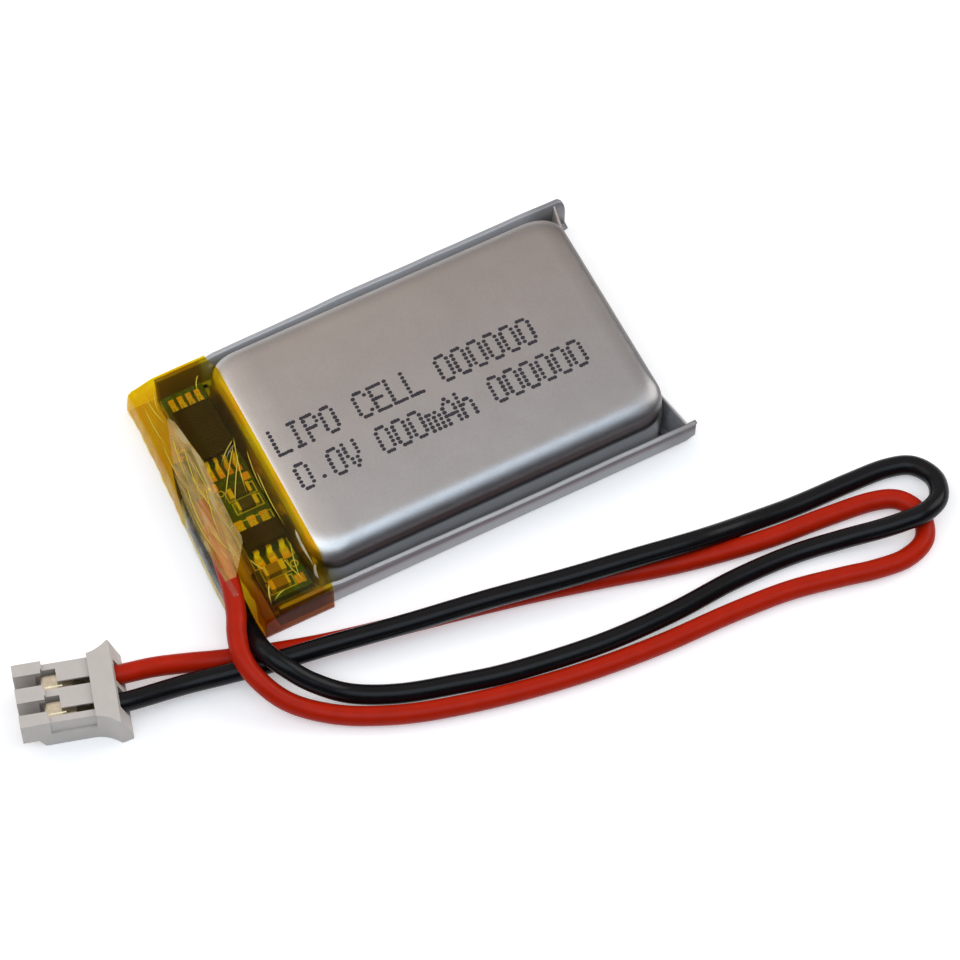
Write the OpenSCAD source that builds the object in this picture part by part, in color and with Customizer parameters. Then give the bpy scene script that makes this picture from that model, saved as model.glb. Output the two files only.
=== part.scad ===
// Small lithium-polymer pouch cell with a protection board, two leads and a 2.0 mm pitch plug.
// The part lies on its back on Z = 0. X runs from the board end to the folded end of the pouch,
// Z points up out of the formed face. The origin is under the middle of the cell and its tape.

/* [Pouch] */
// Thickness of the cell over the formed face
cell_t = 5.0; // [4:0.1:6]
// Overall length from the tape end to the tips of the side flanges
pack_l = 35.2; // [34.8:0.1:36]
// Distance between the outer faces of the side flanges at their foot
flange_w = 19.9; // [19.6:0.1:20.4]
// Width of the formed cup at its foot
cup_w = 18.6; // [18.2:0.1:18.8]
// Fillet round the top edge of the cup
cup_fillet = 1.3; // [0.8:0.1:1.6]
// Corner radius of the cup seen from above
cup_corner = 2.0; // [1.7:0.1:2.4]
// Thickness of the laminate
foil_t = 0.16; // [0.14:0.01:0.17]
// Height of the side flanges above the resting face
flange_h = 3.0; // [2.4:0.1:3.3]
// Outward lean of the bare side flanges, in degrees
flange_lean = 7; // [0:1:9]

/* [Circuit board] */
// Length of the board, across the cell
board_l = 17.6; // [17:0.1:18]
// Width of the board, along the cell
board_w = 3.15; // [3:0.05:3.2]
// Thickness of the board
board_t = 0.7; // [0.5:0.1:0.8]
// Height of the top of the board
board_top = 2.1; // [2:0.05:2.15]

/* [Tape] */
// Thickness of the amber tape wrap
tape_t = 0.08; // [0.06:0.01:0.1]
// Height of the tape roof over the board
tape_roof = 3.36; // [3.34:0.02:3.5]

/* [Leads] */
// Outer diameter of the insulated leads
lead_d = 1.4; // [1.2:0.05:1.4]
// Diameter of the bare conductor
core_d = 0.5; // [0.4:0.05:0.6]

/* [Plug] */
// Distance between the two contacts
plug_pitch = 2.0; // [1.9:0.05:2.05]
// Length of the housing
plug_l = 7.4; // [7.2:0.1:7.8]
// Width of the housing at the contacts
plug_w = 4.7; // [4.6:0.1:5]
// Height of the housing
plug_h = 3.4; // [3.3:0.1:3.6]
// Width over the flared wings at the wire end
wing_w = 6.2; // [5.8:0.1:6.4]
// Angle of the plug on the surface, in degrees
plug_yaw = -16.5; // [-20:0.5:-12]

/* [Hidden] */
$fn = 32;

// Levels and stations of the pouch
tip_x = pack_l / 2;
tape_x = -pack_l / 2;
back_z = tape_t;
seal_z = back_z + foil_t;
margin_z = seal_z + foil_t;
cup_x0 = -11.4;
cup_x1 = 16.1;
terrace_x = -14.6;
lean_x = -10.55;
plate_w = flange_w - 2 * foil_t;

// Flattened winding: every strip follows one spiral of half circles and straight runs
wind_pitch = 0.52;
wind_r0 = 0.1;
wind_arcs = 7;
wind_half_w = 6.5;
wind_z = 2.62;
wind_x0 = -9.9;
wind_x1 = 15.4;
arc_steps = 12;
anode_band = [0, 0.17];
inner_separator_band = [0.19, 0.25];
cathode_band = [0.27, 0.42];
outer_separator_band = [0.44, 0.5];

// Tabs and their path from the winding, through the terrace seal, to the plates under the board
tab_t = 0.1;
tab_w = 2.6;
tab_y = 4.6;
film_w = 4.4;
film_z0 = back_z + 0.13;
film_t = 0.16;
tab_z = film_z0 + 0.03;
tab_bend_x = -14.88;
plate_z = board_top - board_t - 0.15;

// Board station and the places of its parts
board_x0 = -14.7;
board_mid_x = board_x0 + board_w / 2;
mosfet_y = 4.85;
chip_y = -4.3;
red_joint = [-14.95, 0.9, 2.1];
black_joint = [-14.95, 4.5, 2.1];
joint_r = 0.55;

// Plug place: the middle of its wire end, on the resting surface
plug_at = [-26.2, -10.1, 0];
contact_z = 2.0;
cavity_w = 1.6;
cavity_h = 1.9;
lead_depth = 1.2;

// Lead routes, along the middle of each lead
red_route = [
  [-15.5, 0, 2.3], [-15.9, -2.2, 2.3], [-16.3, -4.6, 2.4], [-16.7, -6.8, 2.6], [-17.3, -8.8, 2.8],
  [-18, -10.4, 2.9], [-18.4, -12.1, 2.9], [-18.1, -13.9, 2.5], [-17, -15.7, 1.6], [-15.2, -17.2, 0.9],
  [-12.8, -18.7, 0.7], [-9.6, -20.1, 0.7], [-5.8, -21.2, 0.7], [-1.6, -22.1, 0.7], [3, -22.8, 0.7],
  [8, -23.2, 0.7], [13, -23.3, 0.7], [17.4, -23.6, 0.7], [21, -24.3, 0.7], [23.6, -24.9, 0.7],
  [25.9, -25.1, 0.7], [27.7, -24.4, 0.7], [28.4, -22.7, 0.7], [27.7, -21, 0.7], [25.9, -20.2, 0.7],
  [22.5, -19.8, 0.7], [18.7, -19.5, 0.7], [15.2, -19, 0.7], [11.2, -18.2, 0.7], [6.7, -17, 0.7],
  [2, -15.8, 0.7], [-3, -14.7, 0.7], [-8, -13.7, 0.7], [-12.5, -12.7, 0.7], [-16, -11.7, 0.7],
  [-19, -10.7, 0.7], [-21.5, -9.9, 1], [-23.8, -9.4, 1.6], [-25.9, -9.1, 2], [-27.1, -8.8, 2]
];
black_route = [
  [-15.5, 3.7, 1.8], [-16, 1.8, 1.3], [-16.4, -0.8, 0.9], [-16.6, -4, 0.9], [-16.7, -7.4, 1],
  [-16.8, -9.3, 1.2], [-16.9, -10.9, 2.1], [-16.9, -12.5, 3.1], [-16.2, -14, 3], [-14.9, -15.5, 2.1],
  [-12.8, -17, 1.1], [-9.8, -18.4, 0.8], [-6, -19.6, 0.9], [-2, -20.6, 1], [4, -21.5, 1.2],
  [9.5, -21.6, 1.1], [14.5, -21.2, 0.8], [19, -21.3, 0.7], [22.5, -21.9, 0.9], [25, -22.7, 1.6],
  [26.7, -23.1, 2], [28.3, -23.2, 2.1], [29.8, -22.5, 1.8], [30.5, -20.8, 1.2], [29.8, -19.1, 0.8],
  [28.1, -18.4, 0.7], [25.2, -18.2, 0.7], [21.5, -18.1, 0.7], [17.5, -17.9, 1], [13.5, -17.8, 1.8],
  [9, -17.2, 2.1], [4, -16.4, 2.1], [-1.5, -15.4, 2.1], [-7, -14.5, 2], [-12.5, -13.5, 1.9],
  [-16.5, -12.8, 1.7], [-19.6, -12, 1.3], [-22.5, -11.4, 1.3], [-26.5, -11.1, 2], [-27.6, -10.7, 2]
];

// ---- Helpers ----

// Extrudes a section drawn in Y and Z from x0 to x1
module along_x(x0, x1) {
  translate([x0, 0, 0]) rotate([90, 0, 90]) linear_extrude(x1 - x0) children();
}

// Extrudes a profile drawn in X and Z from y0 to y1
module along_y(y0, y1) {
  translate([0, y1, 0]) rotate([90, 0, 0]) linear_extrude(y1 - y0) children();
}

// Puts a child on both sides of the cell
module both_sides() {
  children();
  mirror([0, 1, 0]) children();
}

// Box from its lowest corner to its highest corner
module span(low, high) {
  translate(low) cube(high - low);
}

// Profile of one filleted cup corner, for rotate_extrude
function corner_profile(r, fillet, h) = concat(
  [[0, 0], [r, 0]],
  [for (i = [0:8]) [r - fillet + fillet * cos(i * 11.25), h - fillet + fillet * sin(i * 11.25)]],
  [[0, h]]
);

// Filleted block that tapers with its corner posts, standing on z0
module filleted_block(x0, x1, w, r, fillet, z0, z1) {
  hull() {
    for (x = [x0 + r, x1 - r]) {
      for (y = [r - w / 2, w / 2 - r]) {
        translate([x, y, z0]) rotate_extrude() polygon(corner_profile(r, fillet, z1 - z0));
      }
    }
  }
}

// Points along one edge of the flattened spiral, at a distance out from its inner face
function spiral_edge(out) = [
  for (k = [0:wind_arcs - 1], j = [0:arc_steps])
    let (
      even = k % 2 == 0,
      r = wind_r0 + k * wind_pitch / 2 + out,
      a = (even ? -90 : 90) + 180 * j / arc_steps
    )
    [(even ? 1 : -1) * wind_half_w + r * cos(a), (even ? 0 : -wind_pitch / 2) + r * sin(a)]
];

// One wound strip between two distances from the spiral's inner face
module wound_strip(band) {
  inner = spiral_edge(band[0]);
  outer = spiral_edge(band[1]);
  back = [for (i = [len(outer) - 1:-1:0]) outer[i]];
  along_x(wind_x0, wind_x1) translate([0, wind_z]) polygon(concat(inner, back));
}

// Flat ring section of a path in X and Z, used for bent strips
module bent_strip(path, t) {
  for (i = [0:len(path) - 2]) {
    low = [min(path[i][0], path[i + 1][0]), min(path[i][1], path[i + 1][1])];
    high = [max(path[i][0], path[i + 1][0]), max(path[i][1], path[i + 1][1])];
    translate(low) square(high - low + [t, t]);
  }
}

function unit(v) = v / norm(v);

// Direction of a route at point i
function heading(route, i) = unit(route[min(i + 1, len(route) - 1)] - route[max(i - 1, 0)]);

// One ring of points round the route at point i
function ring(route, i, r, sides) =
  let (
    ahead = heading(route, i),
    side = unit(cross([0, 0, 1], ahead)),
    up = cross(ahead, side)
  )
  [for (k = [0:sides - 1]) route[i] + r * cos(360 * k / sides) * side + r * sin(360 * k / sides) * up];

// Round tube swept along a route, as one closed polyhedron
module swept_tube(route, d, sides = 8) {
  n = len(route);
  points = [for (i = [0:n - 1]) each ring(route, i, d / 2, sides)];
  walls = [
    for (i = [0:n - 2], k = [0:sides - 1])
      let (a = i * sides + k, b = i * sides + (k + 1) % sides)
      [a, a + sides, b + sides, b]
  ];
  caps = [[for (k = [0:sides - 1]) k], [for (k = [sides - 1:-1:0]) (n - 1) * sides + k]];
  polyhedron(points, concat(walls, caps), convexity = 10);
}

// Straight twelve-sided bar between two points
module bar(from, to, d) {
  v = to - from;
  translate(from)
    rotate([0, acos(v[2] / norm(v)), atan2(v[1], v[0])])
      cylinder(d = d, h = norm(v), $fn = 12);
}

// ---- Pouch ----

// Section of one laminate layer of a side flange: foot on the plate, then up, leaning outward
module flange_section(outer_y, foot_z, lean) {
  rise = flange_h - foot_z;
  shift = rise * tan(lean);
  polygon([
    [outer_y - foil_t, foot_z], [outer_y, foot_z],
    [outer_y + shift, flange_h], [outer_y + shift - foil_t, flange_h]
  ]);
}

// Seal margin of the cup half on one side: a ledge beside the cup, then the inner flange layer
module cup_margin(x0, x1, lean) {
  outer_y = flange_w / 2 - foil_t;
  along_x(x0, x1) union() {
    translate([cup_w / 2 - foil_t, seal_z]) square([outer_y - cup_w / 2 + foil_t, foil_t]);
    flange_section(outer_y, seal_z, lean);
  }
}

// Web that closes the end of the trough between the cup and the flange
module end_web() {
  hull() {
    translate([cup_x1 - 1.4, cup_w / 2 - 1.0, seal_z]) cube([0.3, 0.3, 2.6]);
    translate([cup_x1 + 0.3, flange_w / 2 - 0.5, seal_z]) cube([0.2, 0.15, 2.3]);
  }
}

module pouch_formed_cup() {
  color("silver") {
    difference() {
      union() {
        filleted_block(cup_x0, cup_x1, cup_w, cup_corner, cup_fillet, seal_z, cell_t);
        // terrace seal with a raised bed over each tab
        span([terrace_x, -plate_w / 2 + foil_t, seal_z], [cup_x0 + 2, plate_w / 2 - foil_t, margin_z]);
        for (y = [-tab_y, tab_y]) {
          span([terrace_x, y - film_w / 2 - 0.1, seal_z], [cup_x0 + 2, y + film_w / 2 + 0.1, margin_z + 0.1]);
        }
      }
      filleted_block(
        cup_x0 + foil_t, cup_x1 - foil_t, cup_w - 2 * foil_t,
        cup_corner - foil_t, cup_fillet - foil_t, seal_z - 0.5, cell_t - foil_t
      );
      tab_film_blocks(0.01);
    }
    both_sides() {
      cup_margin(terrace_x, lean_x, 0);
      cup_margin(lean_x, tip_x, flange_lean);
      difference() {
        end_web();
        filleted_block(
          cup_x0 + foil_t, cup_x1 - foil_t, cup_w - 2 * foil_t,
          cup_corner - foil_t, cup_fillet - foil_t, seal_z - 0.5, cell_t - foil_t
        );
      }
    }
  }
}

module pouch_back_sheet() {
  color("lightgray") {
    difference() {
      union() {
        span([terrace_x, -flange_w / 2, back_z], [cup_x1 + 0.5, flange_w / 2, seal_z]);
        both_sides() span([cup_x1, cup_w / 2, back_z], [tip_x, flange_w / 2, seal_z]);
      }
      tab_film_blocks(0.01);
    }
    both_sides() {
      along_x(terrace_x, lean_x) flange_section(flange_w / 2, seal_z, 0);
      along_x(lean_x, tip_x) flange_section(flange_w / 2, seal_z, flange_lean);
    }
  }
}

// ---- Electrodes ----

module anode_foil_winding() {
  color("peru") wound_strip(anode_band);
}

module cathode_foil_winding() {
  color("dimgray") wound_strip(cathode_band);
}

module separator_winding() {
  color("white") {
    wound_strip(inner_separator_band);
    wound_strip(outer_separator_band);
  }
}

module winding_end_tape() {
  roll_top = wind_z + wind_r0 + (wind_arcs - 1) * wind_pitch / 2 + outer_separator_band[1];
  color("royalblue") span([wind_x0 + 4, -wind_half_w, roll_top], [wind_x0 + 16, wind_half_w, roll_top + 0.05]);
}

// ---- Tabs ----

// Film blocks round both tabs in the terrace seal, grown by a small clearance
module tab_film_blocks(gap) {
  for (y = [-tab_y, tab_y]) {
    span(
      [terrace_x - 0.15, y - film_w / 2 - gap, film_z0 - gap],
      [cup_x0 + 0.15, y + film_w / 2 + gap, film_z0 + film_t + gap]
    );
  }
}

// Tab from the winding's end down through the seal, out, up and back under the board
module tab(y) {
  path = [
    [wind_x0 - tab_t, wind_z], [wind_x0 - 0.9, wind_z], [wind_x0 - 0.9, tab_z],
    [tab_bend_x, tab_z], [tab_bend_x, plate_z - tab_t], [tab_bend_x + 2.2, plate_z - tab_t]
  ];
  along_y(y - tab_w / 2, y + tab_w / 2) bent_strip(path, tab_t);
}

module positive_tab() {
  color("gainsboro") tab(-tab_y);
}

module negative_tab() {
  color("darkgray") tab(tab_y);
}

module tab_seal_films() {
  color("ivory") difference() {
    tab_film_blocks(0);
    for (y = [-tab_y, tab_y]) {
      span([terrace_x - 1, y - tab_w / 2, tab_z], [cup_x0 + 1, y + tab_w / 2, tab_z + tab_t]);
    }
  }
}

module tab_weld_plates() {
  color("silver") for (y = [-tab_y, tab_y]) {
    span([board_x0 + 0.1, y - 1.5, plate_z], [board_x0 + 2.7, y + 1.5, plate_z + 0.15]);
  }
}

module terrace_insulation_strip() {
  top = plate_z - tab_t - 0.02;
  color("tan") span([terrace_x + 0.15, -8.6, margin_z + 0.12], [cup_x0 - 0.15, 8.6, top]);
}

// ---- Board ----

module circuit_board() {
  color("darkgreen") difference() {
    span([board_x0, -board_l / 2, board_top - board_t], [board_x0 + board_w, board_l / 2, board_top]);
    // round hole near the far end of the board
    translate([board_mid_x + 0.9, board_l / 2 - 0.5, 0]) cylinder(d = 0.5, h = 5);
  }
}

// Flat gold pad on the board, centred on a point
module pad(x, y, w, l) {
  translate([x - w / 2, y - l / 2, board_top]) cube([w, l, 0.04]);
}

module board_gold_pads() {
  color("gold") {
    for (i = [-1.5:1.5], s = [-1, 1]) pad(board_mid_x + i * 0.65, mosfet_y + s * 3.1, 0.4, 1);
    for (i = [-1:1], s = [-1, 1]) pad(board_mid_x + i * 0.95, chip_y + s * 1.5, 0.6, 1.1);
    pad(board_x0 + 0.3, red_joint[1] - 0.1, 0.5, 0.6);
    pad(board_mid_x + 1.0, -8.1, 0.7, 0.7);
    pad(board_mid_x + 1.1, 0.7, 0.6, 0.6);
  }
}

// Gull-wing lead: foot on the board, riser, and a shoulder into the body
module gull_lead(w, reach, body_z) {
  translate([-w / 2, 0, 0]) {
    translate([0, reach - 0.55, 0.04]) cube([w, 0.55, 0.14]);
    translate([0, reach - 0.69, 0.04]) cube([w, 0.14, body_z + 0.1]);
    translate([0, 0, body_z]) cube([w, reach - 0.55, 0.14]);
  }
}

// Moulded chip body: two tapered halves meeting at the lead plane
module chip_body(l, w, z0, z1) {
  mid = (z0 + z1) / 2;
  hull() {
    translate([-l / 2 + 0.08, -w / 2 + 0.08, z0]) cube([l - 0.16, w - 0.16, 0.02]);
    translate([-l / 2, -w / 2, mid - 0.05]) cube([l, w, 0.1]);
    translate([-l / 2 + 0.08, -w / 2 + 0.08, z1 - 0.02]) cube([l - 0.16, w - 0.16, 0.02]);
  }
}

module mosfet_body() {
  color("black") translate([board_mid_x, mosfet_y, board_top]) chip_body(2.95, 4.4, 0.1, 1.0);
}

module mosfet_leads() {
  color("goldenrod") for (i = [-1.5:1.5], s = [0, 180]) {
    translate([board_mid_x, mosfet_y, board_top])
      rotate([0, 0, s]) translate([i * 0.65, 2.2, 0]) gull_lead(0.26, 1.0, 0.5);
  }
}

module protection_chip_body() {
  color("black") translate([board_mid_x, chip_y, board_top]) chip_body(2.9, 1.6, 0.1, 1.1);
}

module protection_chip_leads() {
  color("goldenrod") for (i = [-1:1], s = [0, 180]) {
    translate([board_mid_x, chip_y, board_top])
      rotate([0, 0, s]) translate([i * 0.95, 0.8, 0]) gull_lead(0.4, 0.8, 0.55);
  }
}

// Chip part with a centre block between two end caps
module chip_part(x, y, l, w, h) {
  translate([x - l / 2, y - w / 2, board_top]) {
    translate([0, 0, 0.02]) cube([l, w, h - 0.02]);
    for (end = [0, l - 0.25]) {
      translate([end - 0.02, -0.02, 0]) cube([0.29, w + 0.04, h + 0.02]);
    }
  }
}

module chip_resistors() {
  color("dimgray") {
    chip_part(board_mid_x + 0.15, -0.3, 1.6, 0.75, 0.45);
    chip_part(board_mid_x + 0.25, -1.4, 1.5, 0.7, 0.45);
  }
}

module chip_capacitors() {
  color("tan") {
    chip_part(board_mid_x - 0.35, -6.85, 1.5, 0.75, 0.6);
    chip_part(board_mid_x - 0.5, -7.95, 1.4, 0.7, 0.5);
  }
}

// ---- Leads ----

// Bare conductor from the end face of a lead to its joint, cut flush with that face
module conductor_end(route, joint) {
  into_lead = heading(route, 0);
  difference() {
    bar(route[0] - 0.3 * unit(joint - route[0]), joint, core_d);
    translate(route[0])
      rotate([0, acos(into_lead[2]), atan2(into_lead[1], into_lead[0])])
        cylinder(d = 3, h = 2, $fn = 12);
  }
}

module red_conductor_end() {
  color("silver") conductor_end(red_route, red_joint);
}

module black_conductor_end() {
  color("silver") conductor_end(black_route, black_joint);
}

// Solder beads on the edge of the board, cut clear of the board, the pads, the MOSFET and the tab
module lead_solder_joints() {
  color("lightgray") difference() {
    for (joint = [red_joint, black_joint]) translate(joint) sphere(joint_r, $fn = 12);
    span([board_x0, -board_l / 2, 0], [0, board_l / 2, board_top + 0.04]);
    span([board_mid_x - 1.5, mosfet_y - 2.3, 0], [board_mid_x, mosfet_y + 2.3, board_top + 1.1]);
    span([tab_bend_x - 0.01, 0, 0], [0, board_l / 2, plate_z + 0.15]);
    bar(red_route[0], red_joint, core_d);
    bar(black_route[0], black_joint, core_d);
  }
}

module red_lead() {
  color("red") swept_tube(red_route, lead_d);
}

module black_lead() {
  color("black") swept_tube(black_route, lead_d);
}

// ---- Tape ----

module lead_fixing_strip() {
  color("whitesmoke") translate([0, 0, tape_roof]) linear_extrude(0.06) polygon([
    [-14.5, 6.9], [-14.2, 3], [-14.3, -2.6], [-14.4, -4.2], [-14.9, -5.4], [-15.3, -6.5],
    [-16.6, -6.5], [-16.7, -2.6], [-16.6, 2.8], [-15.1, 6.9]
  ]);
}

// Outline of the tape sleeve over the terrace, in X and Z, pulled in by a distance
function sleeve_outline(t) = [
  [tape_x + t, t], [cup_x0 - 0.1, t], [cup_x0 - 0.1, tape_roof - t],
  [tape_x + 0.9 + t * 0.6, tape_roof - t], [tape_x + t, tape_roof - 0.9 - t * 0.6]
];

// Section of the tape collar over the shoulder of the cell, in Y and Z
function collar_half(t) = [
  [flange_w / 2 + 0.1 - t, t], [flange_w / 2 + 0.1 - t, flange_h + 0.1 - t],
  [flange_w / 2 - 0.5, flange_h + 0.2 - t], [cup_w / 2 + 0.1 - t, cell_t - 0.9 - t],
  [cup_w / 2 - 1.1, cell_t + tape_t - t]
];

module collar_section(t) {
  half = collar_half(t);
  other = [for (i = [len(half) - 1:-1:0]) [-half[i][0], half[i][1]]];
  polygon(concat(half, other));
}

module polyimide_tape_wrap() {
  sleeve_y = flange_w / 2 + 0.1;
  color("goldenrod") difference() {
    union() {
      along_y(-sleeve_y, sleeve_y) polygon(sleeve_outline(0));
      along_x(cup_x0 - 0.1 - tape_t, cup_x0 + 0.8) collar_section(0);
    }
    along_y(-sleeve_y + tape_t, sleeve_y - tape_t) polygon(sleeve_outline(tape_t));
    along_x(cup_x0 - 0.1, cup_x0 + 2) collar_section(tape_t);
    // opening from the sleeve into the collar, below the roof
    span([cup_x0 - 0.5, -sleeve_y + tape_t, tape_t], [cup_x0, sleeve_y - tape_t, flange_h + 0.02]);
    // corner left open for the leads
    span([tape_x - 1, -sleeve_y - 1, 0.2], [-15.9, -6.6, tape_roof + 1]);
  }
}

// ---- Plug ----

// Places a child drawn in the plug's own frame: X to the wire end, origin under the wire end
module on_plug() {
  translate(plug_at) rotate([0, 0, plug_yaw]) children();
}

// Plan outline of the housing with curved wings at the wire end
function plug_outline() =
  let (
    half = plug_w / 2,
    flare = (wing_w - plug_w) / 2,
    side = [for (i = [0:6]) [-2.6 + i * 0.3, half + flare * pow(i / 6, 2)]]
  )
  concat(
    [[-plug_l, half]], side, [[0, wing_w / 2 - 0.2], [0, -wing_w / 2 + 0.2]],
    [for (i = [6:-1:0]) [side[i][0], -side[i][1]]], [[-plug_l, -half]]
  );

module plug_housing() {
  color("white") on_plug() difference() {
    linear_extrude(plug_h) polygon(plug_outline());
    // wire end slopes back towards the top
    along_y(-wing_w, wing_w) polygon([[-0.7, plug_h], [0, 1], [1, 1], [1, plug_h + 1], [-0.7, plug_h + 1]]);
    // lower step at the mating end
    along_y(-plug_w, plug_w) polygon([
      [-plug_l - 1, -1], [-plug_l + 1.5, -1], [-plug_l + 1.5, 0], [-plug_l + 1.1, 0.9], [-plug_l - 1, 0.9]
    ]);
    // waist between the mating lugs and the wire-end block
    span([-plug_l + 2, -plug_w, plug_h - 0.3], [-plug_l + 5.1, plug_w, plug_h + 1]);
    both_sides() span([-plug_l + 2, plug_w / 2 - 0.15, 1.6], [-plug_l + 5.1, plug_w, plug_h + 1]);
    for (y = [-plug_pitch / 2, plug_pitch / 2]) {
      // contact opening, then the cavity for the terminal and its lead
      span([-plug_l - 1, y - 0.6, contact_z - 0.75], [-plug_l + 2, y + 0.6, contact_z + 0.6]);
      span(
        [-plug_l + 1.5, y - cavity_w / 2, contact_z - cavity_h / 2],
        [1, y + cavity_w / 2, contact_z + cavity_h / 2]
      );
      // groove between the lugs, opening behind them, and the latch slot
      span([-plug_l - 1, y - 0.45, contact_z], [-plug_l + 1.9, y + 0.45, plug_h + 1]);
      span([-plug_l + 1.9, y - 0.75, contact_z], [-plug_l + 2.9, y + 0.75, plug_h + 1]);
      span([-plug_l + 2.8, y - 0.72, contact_z], [-plug_l + 5.1, y - 0.22, plug_h + 1]);
    }
  }
}

// Crimp terminal: box contact, neck, conductor crimp and insulation crimp
module crimp_terminal(y) {
  z = contact_z;
  crimp_x = -lead_depth - 0.05;
  on_plug() translate([0, y, 0]) {
    difference() {
      span([-plug_l + 1.8, -0.6, z - 0.65], [-plug_l + 3.9, 0.6, z + 0.55]);
      span([-plug_l + 1.0, -0.48, z - 0.53], [-plug_l + 4.5, 0.48, z + 0.43]);
    }
    // latch tongue that springs up into the window
    span([-plug_l + 2.0, -0.3, z + 0.55], [-plug_l + 3.2, 0.3, z + 0.65]);
    span([-plug_l + 3.8, -0.4, z - 0.65], [crimp_x, 0.4, z - 0.5]);
    span([crimp_x - 1.3, -0.45, z - 0.6], [crimp_x - 0.2, 0.45, z + 0.2]);
  }
}

module red_crimp_terminal() {
  color("gold") crimp_terminal(plug_pitch / 2);
}

module black_crimp_terminal() {
  color("gold") crimp_terminal(-plug_pitch / 2);
}

pouch_formed_cup();
pouch_back_sheet();
anode_foil_winding();
cathode_foil_winding();
separator_winding();
winding_end_tape();
positive_tab();
negative_tab();
tab_seal_films();
terrace_insulation_strip();
tab_weld_plates();
circuit_board();
board_gold_pads();
mosfet_body();
mosfet_leads();
protection_chip_body();
protection_chip_leads();
chip_resistors();
chip_capacitors();
red_conductor_end();
black_conductor_end();
lead_solder_joints();
lead_fixing_strip();
polyimide_tape_wrap();
red_lead();
black_lead();
plug_housing();
red_crimp_terminal();
black_crimp_terminal();
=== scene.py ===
import math
import bpy
import bmesh
import numpy as np
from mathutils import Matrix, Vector


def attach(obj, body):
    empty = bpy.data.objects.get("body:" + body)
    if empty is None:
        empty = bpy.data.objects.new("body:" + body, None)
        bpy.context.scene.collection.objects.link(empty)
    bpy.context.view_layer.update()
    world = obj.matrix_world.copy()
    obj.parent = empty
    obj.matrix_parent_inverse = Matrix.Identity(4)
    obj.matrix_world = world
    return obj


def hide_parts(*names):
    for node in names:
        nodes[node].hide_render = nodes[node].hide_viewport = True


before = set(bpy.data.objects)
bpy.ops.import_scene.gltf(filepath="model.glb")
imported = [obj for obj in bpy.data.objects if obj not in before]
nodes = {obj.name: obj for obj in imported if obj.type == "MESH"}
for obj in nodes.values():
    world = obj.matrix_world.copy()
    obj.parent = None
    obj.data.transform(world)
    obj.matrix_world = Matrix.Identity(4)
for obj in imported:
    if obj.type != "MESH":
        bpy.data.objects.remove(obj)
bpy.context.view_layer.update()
MM = 0.001


# ---------------------------------------------------------------- camera
def look_at(obj, target):
    d = Vector(target) - obj.location
    obj.rotation_euler = d.to_track_quat("-Z", "Y").to_euler()


target = Vector((2.75, -5.98, 0)) * MM
azimuth, elevation, distance = math.radians(-27.2), math.radians(62.0), 318 * MM
cam_data = bpy.data.cameras.new("camera")
cam_data.sensor_width = 36.0
cam_data.lens = 171.5
camera = bpy.data.objects.new("camera", cam_data)
bpy.context.scene.collection.objects.link(camera)
camera.location = target + distance * Vector(
    (
        math.sin(azimuth) * math.cos(elevation),
        -math.cos(azimuth) * math.cos(elevation),
        math.sin(elevation),
    )
)
look_at(camera, target)
bpy.context.scene.camera = camera


# ---------------------------------------------------------------- material helpers
def fill_ramp(node, stops):
    """Set a colour ramp from a list of positions and colours."""
    els = node.color_ramp.elements
    while len(els) < len(stops):
        els.new(0.5)
    for e, (pos, col) in zip(els, stops):
        e.position = pos
        e.color = (*col, 1)


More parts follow.
